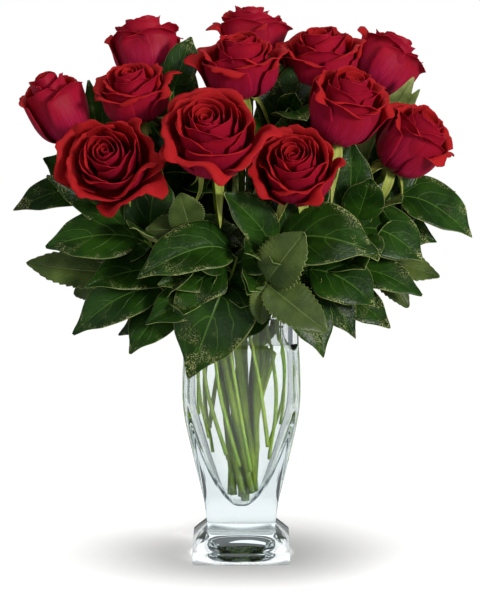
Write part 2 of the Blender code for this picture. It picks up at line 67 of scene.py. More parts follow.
def smoothRoute(points, step):      # a Catmull-Rom curve through chosen points
    p = [np.array(q, float) for q in points]
    p = [2 * p[0] - p[1], *p, 2 * p[-1] - p[-2]]
    fine = []
    for a, b, c, d in zip(p, p[1:], p[2:], p[3:]):
        for t in np.arange(24) / 24:
            fine.append(0.5 * (2 * b + (c - a) * t + (2 * a - 5 * b + 4 * c - d) * t * t
                               + (3 * b - a - 3 * c + d) * t ** 3))
    fine.append(p[-2])
    return resample(np.array(fine), step)


def addSheets(name, across, along, count=1):      # flat grids in one mesh, ready to be shaped
    bpy.ops.object.select_all(action="DESELECT")
    bpy.ops.mesh.primitive_grid_add(x_subdivisions=across, y_subdivisions=along, size=1.0)
    sheet = bpy.context.object
    sheet.name = name
    sheet.data.name = name
    if count > 1:
        copies = sheet.modifiers.new("copies", "ARRAY")
        copies.count = count
        copies.use_relative_offset = False
        copies.use_merge_vertices = False
        bpy.ops.object.modifier_apply(modifier="copies")
    return sheet


def shapeSheets(sheet, count, place):      # place(k, u, v): sheet k, u -1 to 1 across, v 0 to 1 along
    mesh = sheet.data
    total = len(mesh.vertices)
    flat = np.empty(total * 3)
    mesh.vertices.foreach_get("co", flat)
    flat = flat.reshape(-1, 3)
    k = np.arange(total) // (total // count)
    mesh.vertices.foreach_set("co", place(k, flat[:, 0] * 2, flat[:, 1] + 0.5).reshape(-1))
    mesh.update()


def applyModifier(piece, kind, **settings):
    bpy.context.view_layer.objects.active = piece
    modifier = piece.modifiers.new(kind.lower(), kind)
    for key, value in settings.items():
        setattr(modifier, key, value)
    bpy.ops.object.modifier_apply(modifier=modifier.name)


def weldSeams(piece):      # closes seams and poles, then turns the faces out
    bpy.ops.object.select_all(action="DESELECT")
    piece.select_set(True)
    bpy.context.view_layer.objects.active = piece
    bpy.ops.object.mode_set(mode="EDIT")
    bpy.ops.mesh.select_all(action="SELECT")
    bpy.ops.mesh.remove_doubles(threshold=0.00001)
    bpy.ops.mesh.normals_make_consistent(inside=False)
    bpy.ops.object.mode_set(mode="OBJECT")


def joinAs(name, pieces):
    bpy.ops.object.select_all(action="DESELECT")
    for piece in pieces:
        piece.select_set(True)
    bpy.context.view_layer.objects.active = pieces[0]
    if len(pieces) > 1:
        bpy.ops.object.join()
    joined = bpy.context.object
    joined.name = name
    joined.data.name = name
    return joined


def handIn(piece, slot, *nodes):      # smooth shading, then the piece takes its place in the frame
    bpy.ops.object.select_all(action="DESELECT")
    piece.select_set(True)
    bpy.context.view_layer.objects.active = piece
    bpy.ops.object.shade_smooth()
    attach(piece, "root")
    if nodes:
        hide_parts(*nodes)
    return piece


def roundTube(name, path, radii, around=12):      # a closed round stem along a path
    path = np.asarray(path, float)
    radii = np.asarray(radii, float)
    path = np.vstack([path[:1], path, path[-1:]])
    radii = np.concatenate([[0.0], radii, [0.0]])
    ahead = unit(np.gradient(path[1:-1], axis=0))
    ahead = np.vstack([ahead[:1], ahead, ahead[-1:]])
    sides = [squareTo(ahead[0])[0]]
    for way in ahead[1:]:
        sides.append(unit(sides[-1] - way * np.dot(sides[-1], way)))
    sides = np.array(sides)
    ups = np.cross(ahead, sides)
    rows = len(path)
    tube = addSheets(name, around, rows - 1)

    def place(k, u, v):
        i = np.rint(v * (rows - 1)).astype(int)
        turn = (u * math.pi)[:, None]
        return path[i] + (sides[i] * np.cos(turn) + ups[i] * np.sin(turn)) * radii[i][:, None]

    shapeSheets(tube, 1, place)
    weldSeams(tube)
    return tube


# colours and nodes

def hexColour(code):      # sRGB hex to linear
    channels = [int(code[i:i + 2], 16) / 255 for i in (1, 3, 5)]
    return tuple(c / 12.92 if c <= 0.04045 else ((c + 0.055) / 1.055) ** 2.4 for c in channels) + (1.0,)


def newFinish(name):
    finish = bpy.data.materials.new(name)
    finish.use_nodes = True
    return finish, finish.node_tree.nodes["Principled BSDF"]


def fillSockets(finish, node, inputs):      # with numbers, vectors, hex codes or other nodes' outputs
    for key, value in inputs.items():
        if isinstance(value, bpy.types.NodeSocket):
            finish.node_tree.links.new(value, node.inputs[key])
        else:
            node.inputs[key].default_value = hexColour(value) if isinstance(value, str) else value


def addNode(finish, kind, inputs=None, output=0, **settings):      # gives back one of the new node's outputs
    node = finish.node_tree.nodes.new("ShaderNode" + kind)
    for key, value in settings.items():
        setattr(node, key, value)
    fillSockets(finish, node, inputs or {})
    return node.outputs[output]


def noise(finish, at, perMetre, detail):
    return addNode(finish, "TexNoise", {"Vector": at, "Scale": perMetre, "Detail": detail})


def work(finish, operation, *values):
    return addNode(finish, "Math", dict(enumerate(values)), operation=operation)


def ease(finish, value, low, high, start=0.0, end=1.0):      # eases from start at low to end at high
    return addNode(finish, "MapRange", {0: value, 1: low, 2: high, 3: start, 4: end},
                   interpolation_type="SMOOTHSTEP")


def blend(finish, share, first, second):      # of two colours, each a hex code or an output
    return addNode(finish, "Mix", {0: share, 6: first, 7: second}, output=2, data_type="RGBA")


# camera, light and floor first

stageSettings = {
    "lens": 150.0, "distance": 2.5, "elevation": 10.8, "aim": (-0.0014, 0.0, 0.2614),
    # the floor's glow paints light and shadow: it fades near the vase into a painted shadow, and a painted
    # glow lies under the foot
    "floorColour": "#cdcdce", "floorSize": 60.0, "glowBeyondPaintedShadow": 0.66, "paintedShadowFrom": 0.022, "paintedShadowTo": 0.204,
    "paintedGlowUnderFoot": 0.80, "paintedGlowFootReach": (0.044, 0.056), "paintedShadowStretch": (1.0, 1.2, 1.0), "litOut": 0.45,
    "whiteFrom": 1.5, "skyLight": 0.36, "skyGloss": 0.16,
    "flagAt": 0.38, "flagDepth": 0.9, "flagHeight": 0.62, "flagColour": "#b4bec3",
    "lampAim": (0.0, 0.0, 0.3),
    "lights": (      # name, place, size, watts, colour
        ("keyLight", (1.6, -1.85, 1.0), 0.55, 51.0, "#fffaf6"),
        ("fillLight", (-1.2, -2.0, 0.8), 1.0, 5.0, "#ffffff"),
        ("topLight", (0.1, -0.3, 2.3), 0.5, 10.0, "#ffffff"),
        ("backLight", (0.3, 2.2, 1.3), 1.2, 4.0, "#ffffff"),
    ),
}


def setCamera(s):
    tilt = math.radians(s["elevation"])
    camera = bpy.data.cameras.new("camera")
    camera.lens = s["lens"]
    camera.sensor_width = 36.0
    camera.clip_end = 90.0
    holder = bpy.data.objects.new("camera", camera)
    holder.location = Vector(s["aim"]) + Vector((0.0, -math.cos(tilt), math.sin(tilt))) * s["distance"]
    holder.rotation_euler = (math.radians(90) - tilt, 0.0, 0.0)
    bpy.context.collection.objects.link(holder)
    bpy.context.scene.camera = holder


def hangLights(s):
    for name, place, size, watts, colour in s["lights"]:
        lamp = bpy.data.lights.new(name, "AREA")
        lamp.shape = "DISK"
        lamp.size = size
        lamp.energy = watts
        lamp.color = hexColour(colour)[:3]
        item = bpy.data.objects.new(name, lamp)
        item.location = place
        item.rotation_euler = (Vector(s["lampAim"]) - Vector(place)).to_track_quat("-Z", "Y").to_euler()
        bpy.context.collection.objects.link(item)

    world = bpy.data.worlds.new("studio")      # white to look at, dimmer as a source of light and gloss
    world.use_nodes = True
    glossy = addNode(world, "LightPath", output="Is Glossy Ray")
    seen = addNode(world, "LightPath", output="Is Camera Ray")
    dimmed = addNode(world, "MapRange", {0: glossy, "To Min": s["skyLight"], "To Max": s["skyGloss"]})
    strength = addNode(world, "MapRange", {0: seen, "To Min": dimmed, "To Max": 1.0})
    fillSockets(world, world.node_tree.nodes["Background"], {"Color": "#ffffff", "Strength": strength})
    bpy.context.scene.world = world


def layFloor(s):
    bpy.ops.object.select_all(action="DESELECT")
    bpy.ops.mesh.primitive_plane_add(size=s["floorSize"], location=(0.0, 0.0, 0.0))
    floor = bpy.context.object
    floor.name = "floor"
    paint, shader = newFinish("white studio paper")      # painted light and shadow: the paper glows to plain white away from the vase, and its glow fades near the vase to paint a soft shadow round the foot
    spot = addNode(paint, "TexCoord", output="Object")
    oval = addNode(paint, "Mapping", {"Vector": spot, "Scale": s["paintedShadowStretch"]})
    away = addNode(paint, "VectorMath", {0: oval}, "Value", operation="LENGTH")
    far = ease(paint, away, s["litOut"], s["whiteFrom"])
    # painted shadow: the glow fades towards the vase
    near = ease(paint, away, s["paintedShadowFrom"], s["paintedShadowTo"], 0.0, s["glowBeyondPaintedShadow"])
    inner, outer = s["paintedGlowFootReach"]      # painted light: a glow under the foot shines up into it and ends just inside its edge
    foot = ease(paint, away, inner, outer, s["paintedGlowUnderFoot"], 0.0)
    paintedFloorGlow = work(paint, "ADD", near, foot)
    fillSockets(paint, shader, {
        "Base Color": blend(paint, far, s["floorColour"], "#000000"),
        "Emission Strength": addNode(paint, "Mix", {0: far, 2: paintedFloorGlow, 3: 1.0}), "Emission Color": "#ffffff",
        "Roughness": 1.0, "Specular IOR Level": 0.0})
    floor.data.materials.append(paint)
    floor.visible_diffuse = floor.visible_glossy = False      # the flowers keep their dark undersides


def hangFlags(s):      # only glass and gloss see the flags, which draw the edges of the glass
    felt, shader = newFinish("grey felt flag")
    fillSockets(felt, shader, {"Base Color": s["flagColour"], "Roughness": 1.0, "Specular IOR Level": 0.0})
    for side in (-1, 1):
        bpy.ops.object.select_all(action="DESELECT")
        bpy.ops.mesh.primitive_plane_add(size=1.0, location=(side * s["flagAt"], 0.0, s["flagHeight"] / 2),
                                         rotation=(0.0, math.radians(90), 0.0))
        flag = bpy.context.object
        flag.name = "flag"
        flag.scale = (s["flagHeight"], s["flagDepth"], 1.0)
        bpy.ops.object.transform_apply(location=False, rotation=True, scale=True)
        flag.visible_camera = flag.visible_diffuse = flag.visible_shadow = False
        flag.data.materials.append(felt)


def setStage(s):
    setCamera(s)
    hangLights(s)
    layFloor(s)
    hangFlags(s)
    bpy.context.scene.view_settings.view_transform = "Standard"
    print("stage set")


# finishes

petalSettings = {
    "faceBright": "#a41b1e", "faceDeep": "#8a1318", "backBright": "#9e1528", "backDeep": "#8f1238",
    # the streaks' colour paints satin highlights on the back, and the rim colour paints light along the top
    # edge
    "rim": "#a01418", "streakHighlight": "#c42a5a", "sheenTint": "#e0304a",
    "veinSpacing": 0.7, "petalWidth": 55.0,      # mm, the veins drawn coarse enough to show
}
leafSettings = {
    # rim: on the leaf tops, a painted highlight along the margin; the underside also takes it as its paler
    # tone
    "top": "#142f08", "topLight": "#26480f", "vein": "#557a30", "under": "#5a6a34", "rim": "#a3b06c",
    # the specks' colour paints small glints of light on the leaf tops
    "paintedGlint": "#c6c887", "grain": {"ribs": 4.5, "blister": 2.4},      # side veins, and mm between blisters
    "leaflet": {
        "top": "#36481d", "topLight": "#54662c", "vein": "#74874e", "under": "#7d8a5c",
        "underLight": "#8d9a6c", "underVein": "#a3ad80", "grain": {"ribs": 11.0, "blister": 1.4},
    },
}


def petalFinish(name, bright, deep, sheen, roughness, streakHighlight=0.0):
    # rose petal: fine upright cells give a velvety bloom on the face, the back is smoother and satin
    s = petalSettings
    finish, shader = newFinish(name)
    uv = addNode(finish, "TexCoord", output="UV")
    spot = addNode(finish, "TexCoord", output="Object")
    upward = addNode(finish, "SeparateXYZ", {0: uv}, "Y")
    lines = s["petalWidth"] / s["veinSpacing"] / 2
    stretched = addNode(finish, "Mapping", {"Vector": uv, "Scale": (lines, 2.2, 1.0)})
    veins = addNode(finish, "TexNoise", {"Vector": stretched, "Scale": 1.0, "Detail": 3.0, "Roughness": 0.6})
    cloud = noise(finish, spot, 45.0, 2.0)
    towardsTip = ease(finish, upward, 0.15, 0.85)
    cloudy = ease(finish, cloud, 0.25, 0.75, 0.0, 0.35)
    veined = ease(finish, veins, 0.45, 0.75, 0.0, 0.35)
    # painted highlight: pale streaks along the veins near the base stand for the satin shine on the petal's
    # back
    streakHighlights = ease(finish, veins, 0.42, 0.66, 0.0, streakHighlight)
    low = ease(finish, upward, 0.30, 0.80, 1.0, 0.0)
    streakHighlights = work(finish, "MULTIPLY", streakHighlights, low)
    # painted light: a thin band in the rim tone along the rolled top edge, where it catches the lamps
    edge = ease(finish, upward, 0.955, 1.0, 0.0, 0.25)
    colour = blend(finish, towardsTip, deep, bright)
    for layer, tone in ((cloudy, deep), (veined, deep), (streakHighlights, s["streakHighlight"]), (edge, s["rim"])):
        colour = blend(finish, layer, colour, tone)
    crumple = work(finish, "MULTIPLY_ADD", cloud, 1.6, veins)
    relief = addNode(finish, "Bump", {"Strength": 0.5, "Distance": 0.0007, "Height": crumple})
    fillSockets(finish, shader, {
        "Base Color": colour, "Normal": relief, "Roughness": roughness, "Specular IOR Level": 0.06,
        "Subsurface Weight": 0.15, "Subsurface Scale": 0.003, "Subsurface Radius": (1.0, 0.15, 0.1),
        "Sheen Weight": sheen, "Sheen Roughness": 0.4, "Sheen Tint": s["sheenTint"]})
    return finish


def leafFinish(name, base, light, vein, roughness, coat, ribs, blister, paintedGlint=0.0):
    # leaf: veins branch from a midrib in long arcs, and the skin between them is slightly blistered
    s = leafSettings
    finish, shader = newFinish(name)
    uv = addNode(finish, "TexCoord", output="UV")
    spot = addNode(finish, "TexCoord", output="Object")
    along = addNode(finish, "SeparateXYZ", {0: uv}, "Y")
    off = work(finish, "SUBTRACT", addNode(finish, "SeparateXYZ", {0: uv}, "X"), 0.5)
    off = work(finish, "ABSOLUTE", off)      # 0 on the midrib, 0.5 on the margin

    midrib = ease(finish, off, 0.004, 0.020, 1.0, 0.0)
    drift = noise(finish, spot, 70.0, 1.0)
    drift = work(finish, "MULTIPLY", drift, 0.09)
    arc = work(finish, "POWER", off, 1.35)
    arc = work(finish, "MULTIPLY_ADD", arc, 1.15, drift)
    saw = work(finish, "SUBTRACT", along, arc)
    saw = work(finish, "MULTIPLY", saw, ribs)
    saw = work(finish, "FRACT", saw)
    saw = work(finish, "SUBTRACT", saw, 0.5)
    gap = work(finish, "ABSOLUTE", saw)
    side = ease(finish, gap, 0.008, 0.055, 1.0, 0.0)
    faded = ease(finish, off, 0.22, 0.46, 0.55, 0.0)
    side = work(finish, "MULTIPLY", side, faded)
    veins = work(finish, "MAXIMUM", midrib, side)
    drawn = work(finish, "MULTIPLY", veins, 0.75)

    cloud = noise(finish, spot, 38.0, 3.0)
    cloudy = ease(finish, cloud, 0.35, 0.72)
    # painted highlight: a pale band along the margin where the edge catches the light
    marginHighlight = ease(finish, off, 0.478, 0.5, 0.0, 0.55)

    # painted highlights: pale specks stand for small glints of light on the leaf
    glintSpecks = noise(finish, spot, 800.0, 1.0)
    glintSpecks = ease(finish, glintSpecks, 0.52, 0.60, 0.0, paintedGlint)
    patch = noise(finish, spot, 55.0, 2.0)
    patchy = ease(finish, patch, 0.50, 0.62)
    tip = ease(finish, along, 0.62, 0.97)
    rim = ease(finish, off, 0.36, 0.50)
    outer = work(finish, "MAXIMUM", tip, rim)      # painted highlights: the glint specks gather near tips and margins
    waxyGlinting = work(finish, "MULTIPLY", outer, patchy)
    waxyGlinting = work(finish, "MULTIPLY", waxyGlinting, glintSpecks)

    colour = blend(finish, cloudy, base, light)
    for layer, tone in ((drawn, vein), (marginHighlight, s["rim"]), (waxyGlinting, s["paintedGlint"])):
        colour = blend(finish, layer, colour, tone)

    mmPerMetre = 1000.0
    cells = addNode(finish, "TexVoronoi", {"Vector": spot, "Scale": mmPerMetre / blister},
                    feature="SMOOTH_F1")
    height = work(finish, "MULTIPLY", patch, 1.2)
    height = work(finish, "MULTIPLY_ADD", cells, -0.35, height)
    height = work(finish, "MULTIPLY_ADD", veins, -0.8, height)
    relief = addNode(finish, "Bump", {"Strength": 0.8, "Distance": 0.0010, "Height": height})
    fillSockets(finish, shader, {
        "Base Color": colour, "Normal": relief, "Roughness": roughness, "Specular IOR Level": 0.18,
        "Coat Weight": coat, "Coat Roughness": 0.25, "Subsurface Weight": 0.04, "Subsurface Scale": 0.002,
        "Subsurface Radius": (0.4, 1.0, 0.2)})
    return finish


def stemFinish(name, base, light, dark):
    # fresh stem: fibres run along it, with paler and darker stretches under a thin waxy skin
    finish, shader = newFinish(name)
    spot = addNode(finish, "TexCoord", output="Object")
    stretched = addNode(finish, "Mapping", {"Vector": spot, "Scale": (900.0, 900.0, 60.0)})
    fibres = noise(finish, stretched, 1.0, 2.0)
    cloud = noise(finish, spot, 22.0, 3.0)
    cloudy = ease(finish, cloud, 0.35, 0.7)
    lined = ease(finish, fibres, 0.5, 0.75, 0.0, 0.4)
    colour = blend(finish, cloudy, base, light)
    colour = blend(finish, lined, colour, dark)
    relief = addNode(finish, "Bump", {"Strength": 0.3, "Distance": 0.0003, "Height": fibres})
    fillSockets(finish, shader, {
        "Base Color": colour, "Normal": relief, "Roughness": 0.5, "Specular IOR Level": 0.2,
        "Subsurface Weight": 0.08, "Subsurface Scale": 0.002})
    return finish


def glassFinish():
    # pressed soda-lime glass, fire-polished: clear and sharp, with a faint ripple left by the mould
    finish, shader = newFinish("pressed soda-lime glass")
    spot = addNode(finish, "TexCoord", output="Object")
    ripple = noise(finish, spot, 28.0, 1.0)
    relief = addNode(finish, "Bump", {"Strength": 0.06, "Distance": 0.001, "Height": ripple})
    fillSockets(finish, shader, {"Base Color": "#fafcfd", "Normal": relief, "Roughness": 0.0, "IOR": 1.5,
                                 "Transmission Weight": 1.0})
    depth = addNode(finish, "VolumeAbsorption", {"Color": "#9fd0d6", "Density": 3.6})
    fillSockets(finish, finish.node_tree.nodes["Material Output"], {"Volume": depth})
    return finish


def waterFinish():
    # still water: clear, with a trace of green from the cut stems
    finish, shader = newFinish("clear water")
    spot = addNode(finish, "TexCoord", output="Object")
    cloud = noise(finish, spot, 12.0, 1.0)
    colour = blend(finish, cloud, "#fcfefc", "#f8fcf9")
    fillSockets(finish, shader, {"Base Color": colour, "Roughness": 0.0, "IOR": 1.33,
                                 "Transmission Weight": 1.0})
    return finish


# vase and water

vaseSettings = {
    "footHalf": 0.049, "footBand": 0.0135, "waistHalf": 0.0345, "waistHeight": 0.029,
    "body": ((0.053, 0.0354), (0.073, 0.0394), (0.092, 0.0440), (0.121, 0.0500), (0.144, 0.0550),
             (0.163, 0.0578), (0.173, 0.0585), (0.200, 0.0580), (0.227, 0.0563), (0.250, 0.0560)),
    "edgeRound": 0.007, "rim": 0.254, "wall": 0.0048, "cavityFloor": 0.0535, "cavitySpread": 0.1644,
    "bowlSquaring": (0.72, 1.8),      # how square the round bowl gets, and how soon on the way up
    "dimpleRadius": 0.034, "dimpleDepth": 0.006, "cornerSteps": 8, "sideSteps": 3,
    # (inset from the foot's side, height), then (inset, height above the band), then (outset, height)
    "footEdge": ((0.0120, 0.0), (0.0030, 0.0), (0.0013, 0.0001), (0.0005, 0.0005), (0.0001, 0.0012),
                 (0.0, 0.0022)),
    "bandEdge": ((0.0, -0.0014), (0.0003, -0.0004), (0.0011, 0.0004)),
    "waistBend": ((0.0016, 0.0272), (0.0005, 0.0288), (0.0, 0.0306), (0.0, 0.0340)),
    "footRound": 0.0042, "neckRound": 0.0046, "waistRound": 0.0056, "neckTop": 0.0285,
    "bodyFrom": 0.044, "bodyTo": 0.2485, "bodyRings": 34, "lipRise": 0.0022, "cavityTop": 0.2510,
    "cavityRings": 38, "crowding": 1.6,      # the bowl's rings stand closer together near its floor
    "waterLevel": 0.226, "waterRings": 34, "intoGlass": 0.0002, "waterDip": 0.0017,
    "meniscus": ((0.0006, 0.0006), (0.0016, 0.0012), (0.0034, 0.0016)),      # (inset, drop)
}


def bodyHalf(height):
    s = vaseSettings
    heights, halves = zip((s["waistHeight"], s["waistHalf"]), *s["body"])
    return float(np.interp(height, heights, halves))


def smoothBodyHalf(height):      # the outside's half-width with its bends eased
    reach = 0.012
    return float(np.mean([bodyHalf(height + reach * t) for t in np.linspace(-1, 1, 9)]))


def cavityHalf(height):
    s = vaseSettings
    bowl = s["cavitySpread"] * math.sqrt(max(height - s["cavityFloor"], 0.0))
    return min(bowl, bodyHalf(height) - s["wall"])


def squareRing(half, corner, height):      # a square with round corners, evenly stepped
    s = vaseSettings
    corner = min(corner, 0.97 * half)
    ring = []
    for quarter in range(4):
        middle = math.radians(90 * quarter + 45)
        centre = np.array([math.copysign(half - corner, math.cos(middle)),
                           math.copysign(half - corner, math.sin(middle)), height])
        for step in range(s["cornerSteps"] + 1):
            turn = math.radians(90 * quarter + 90 * step / s["cornerSteps"])
            ring.append(centre + corner * np.array([math.cos(turn), math.sin(turn), 0.0]))
        last = ring[-1]
        turn = math.radians(90 * quarter + 90)
        across = np.array([centre[0] * abs(math.sin(turn)), centre[1] * abs(math.cos(turn)), 0.0])
        nextCentre = centre - 2 * across
        first = nextCentre + corner * np.array([math.cos(turn), math.sin(turn), 0.0])
        for step in range(1, s["sideSteps"] + 1):
            ring.append(last + (first - last) * step / (s["sideSteps"] + 1))
    return np.array(ring)


def ringShell(name, rings):      # a closed skin over rings; the first and last shrink to poles
    rings = [np.repeat(rings[0].mean(0)[None], len(rings[0]), 0), *rings,
             np.repeat(rings[-1].mean(0)[None], len(rings[-1]), 0)]
    rings = np.array([np.vstack([ring, ring[:1]]) for ring in rings])
    rows, columns = rings.shape[:2]
    shell = addSheets(name, columns - 1, rows - 1)

    def place(k, u, v):
        return rings[np.rint(v * (rows - 1)).astype(int), np.rint((u + 1) / 2 * (columns - 1)).astype(int)]

    shapeSheets(shell, 1, place)
    weldSeams(shell)
    return shell


def cavityCorner(height, half):
    s = vaseSettings
    share = (height - s["cavityFloor"]) / (s["rim"] - s["cavityFloor"])
    most, pace = s["bowlSquaring"]
    return half * (1.0 - most * min(share * pace, 1.0))


def makeVase(finish):
    s = vaseSettings
    rings = [squareRing(s["dimpleRadius"] * math.sin(turn), 1.0, s["dimpleDepth"] * math.cos(turn))
             for turn in np.radians((6, 18, 32, 46, 60, 74, 84, 90))]
    foot, waist, band = s["footHalf"], s["waistHalf"], s["footBand"]
    for inset, height in s["footEdge"]:
        rings.append(squareRing(foot - inset, s["footRound"], height))
    for inset, rise in s["bandEdge"]:
        rings.append(squareRing(foot - inset, s["footRound"], band + rise))
    for share in (0.35, 0.7):
        rings.append(squareRing(foot + (waist - foot) * share, s["neckRound"],
                                band + (s["neckTop"] - band) * share))
    for outset, height in s["waistBend"]:
        rings.append(squareRing(waist + outset, s["waistRound"], height))
    for height in np.linspace(s["bodyFrom"], s["bodyTo"], s["bodyRings"]):
        rings.append(squareRing(smoothBodyHalf(height), s["edgeRound"], height))
    lip = bodyHalf(0.250) - 0.0002
    for turn in np.radians((0, 30, 60, 90, 120, 150, 180)):      # over the rim to the inside
        radius = 0.5 * s["wall"]
        rings.append(squareRing(lip - radius + radius * math.cos(turn), s["edgeRound"] + 0.002 * turn,
                                s["rim"] - s["lipRise"] + s["lipRise"] * math.sin(turn)))
    down = np.linspace(1.0, 0.06, s["cavityRings"]) ** s["crowding"]
    for height in s["cavityFloor"] + (s["cavityTop"] - s["cavityFloor"]) * down:
        half = cavityHalf(height)
        rings.append(squareRing(half, cavityCorner(height, half), height))
    vase = ringShell("vase_glass", rings)
    vase.data.materials.append(finish)
    vase.visible_shadow = False      # so that the lamps reach the stems
    handIn(vase, "clear_glass", "vase")
    bpy.ops.object.shade_smooth_by_angle(angle=math.radians(40))
    print("vase made")


def makeWater(finish):      # fills the bowl and reaches a hair into the glass, so that no air lies between
    s = vaseSettings
    into = s["intoGlass"]
    rings = []
    up = np.linspace(0.05, 1.0, s["waterRings"]) ** s["crowding"]
    for height in s["cavityFloor"] + (s["waterLevel"] - s["cavityFloor"]) * up:
        half = cavityHalf(height)
        sunk = into if height < 0.1 else 0.0
        rings.append(squareRing(half + into, cavityCorner(height, half), height - sunk))
    top = s["waterLevel"]
    half = cavityHalf(top)
    for inset, drop in s["meniscus"]:
        rings.append(squareRing(half - inset, cavityCorner(top, half), top - drop))
    for share in (0.7, 0.35):
        rings.append(squareRing(half * share, cavityCorner(top, half) * share, top - s["waterDip"]))
    water = ringShell("water", rings)
    water.data.materials.append(finish)
    water.visible_shadow = False
    handIn(water, "clear_glass")
    print("water poured")


# rose stems

roseNames = ["rose_%02d" % i for i in range(1, 13)]
stemSettings = {
    "radius": 0.0035, "rings": 0.006, "taper": (1.04, 0.10), "ringReach": 2.06,
    "nodes": (0.16, 0.33, 0.52, 0.70, 0.86), "swelling": 0.0005, "swollenShare": 0.012,
}


def centreLine(node):      # the middle of each ring of a CAD stem, from its foot to its hip
    points = np.unique(np.round([tuple(v.co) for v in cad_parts[node].data.vertices], 7), axis=0)
    across = stemSettings["ringReach"] * stemSettings["radius"]
    left = list(range(len(points)))
    middles = []
    while left:
        near = [i for i in left if np.linalg.norm(points[i] - points[left[0]]) < across]
        middles.append(points[near].mean(0))
        left = [i for i in left if i not in near]
    route = [min(middles, key=lambda m: m[2])]
    while len(route) < len(middles):
        route.append(min((m for m in middles if not any(m is r for r in route)),
                         key=lambda m: np.linalg.norm(m - route[-1])))
    return np.array(route)


def makeStem(rose, route, finish, random):
    s = stemSettings
    path = smoothRoute(route, s["rings"])
    share = np.linspace(0.0, 1.0, len(path))
    broad, narrowing = s["taper"]
    radii = s["radius"] * (broad - narrowing * share)
    for knot in s["nodes"]:      # the stem swells a little at each leaf joint
        away = share - knot - 0.03 * random.uniform(-1, 1)
        radii += s["swelling"] * np.exp(-(away / s["swollenShare"]) ** 2)
    stem = roundTube(rose + "_stem_skin", path, radii, 16)
    stem.data.materials.append(finish)
    handIn(stem, "rose_stem", rose + "_stem")


# hips and sepals

calyxSettings = {
    "hipLength": 0.012, "sepals": 5, "sepalLength": 0.046, "sepalWidth": 0.0150, "sepalThickness": 0.0007,
    "gap": 0.0003, "hang": 0.40, "frontTurn": 0.35, "hipSink": 0.0008, "rootOut": 0.0052, "rootDown": 0.0015,
    "hip": ((0.0, 0.0034), (0.002, 0.0038), (0.0045, 0.0055), (0.007, 0.0066), (0.0095, 0.0068),
            (0.012, 0.0066), (0.0135, 0.0058), (0.0145, 0.0040)),      # (along, radius)
}


def makeCalyx(rose, base, axis, finish, random):
    s = calyxSettings
    side, up = squareTo(axis)
    path = np.array([base + axis * (along - s["hipSink"]) for along, radius in s["hip"]])
    hip = roundTube(rose + "_hip", path, [radius for along, radius in s["hip"]], 20)
    count = s["sepals"]
    towardsFront = math.atan2(-up[1], -side[1])
    first = towardsFront + s["frontTurn"] * random.uniform(0.6, 1.4)
    lengths = s["sepalLength"] * random.uniform(0.75, 1.1, count)
    shares = np.linspace(0.0, 1.0, 40)
    paths = []
    for droop, curl in zip(random.uniform(0.8, 1.5, count), random.uniform(0.0, 1.4, count)):
        heading = 0.05 - droop * smoothStep(-0.2, 0.45, shares) + curl * smoothStep(0.6, 1.0, shares)
        paths.append(np.cumsum([np.cos(heading), np.sin(heading)], axis=1) / len(shares))
    sways = random.uniform(-0.25, 0.25, count)
    sepals = addSheets(rose + "_sepals", 6, 24, count)

    def place(k, u, v):
        reach, rise = np.array([[np.interp(share, shares, paths[i][j]) for i, share in zip(k, v)]
                                for j in (0, 1)])
        reach = s["rootOut"] + lengths[k] * reach
        rise = s["hipLength"] - s["rootDown"] + lengths[k] * rise
        half = 0.5 * s["sepalWidth"] * (0.62 + 0.9 * np.minimum(v, 0.3)) * (1 - v) ** 0.85 + 0.0002
        turn = first + 2 * math.pi * k / count + sways[k] * v
        out = side[None] * np.cos(turn)[:, None] + up[None] * np.sin(turn)[:, None]
        cup = 0.3 * half * u * u
        hang = np.array([0.0, 0.0, 1.0]) * (s["hang"] * lengths[k] * v ** 1.6)[:, None]
        return (base[None] - hang + out * (reach + cup)[:, None] + axis[None] * (rise + cup)[:, None]
                + np.cross(axis[None], out) * (u * half)[:, None])

    shapeSheets(sepals, count, place)
    applyModifier(sepals, "SOLIDIFY", thickness=s["sepalThickness"], offset=0.0)
    calyx = joinAs(rose + "_hip_and_sepals", [hip, sepals])
    calyx.data.materials.clear()
    calyx.data.materials.append(finish)
    handIn(calyx, "rose_sepals", rose + "_calyx")


# blooms

bloomSettings = {
    "across": 22, "along": 28, "thickness": 0.00045, "goldenAngle": 137.5,
    # radius, height, how far open (0 bud, 1 full), roll of the outer petals in degrees, petals
    "rose_01": (0.0480, 0.050, 1.00, 95, 25), "rose_02": (0.0535, 0.059, 0.92, 125, 26),
    "rose_03": (0.0465, 0.058, 0.80, 95, 25), "rose_04": (0.0455, 0.071, 0.62, 120, 24),
    "rose_05": (0.0425, 0.067, 0.60, 105, 23), "rose_06": (0.0445, 0.058, 0.80, 130, 24),
    "rose_07": (0.0410, 0.060, 0.60, 100, 22), "rose_08": (0.0445, 0.059, 0.88, 150, 24),
    "rose_09": (0.0400, 0.055, 0.75, 120, 22), "rose_10": (0.0425, 0.060, 0.75, 110, 22),
    "rose_11": (0.0415, 0.053, 0.75, 130, 24), "rose_12": (0.0390, 0.068, 0.60, 70, 14),
    "sag": 0.006, "whorlShift": {"rose_02": (-0.009, 0.0, 0.0), "rose_01": (-0.002, 0.0, 0.003)},
}


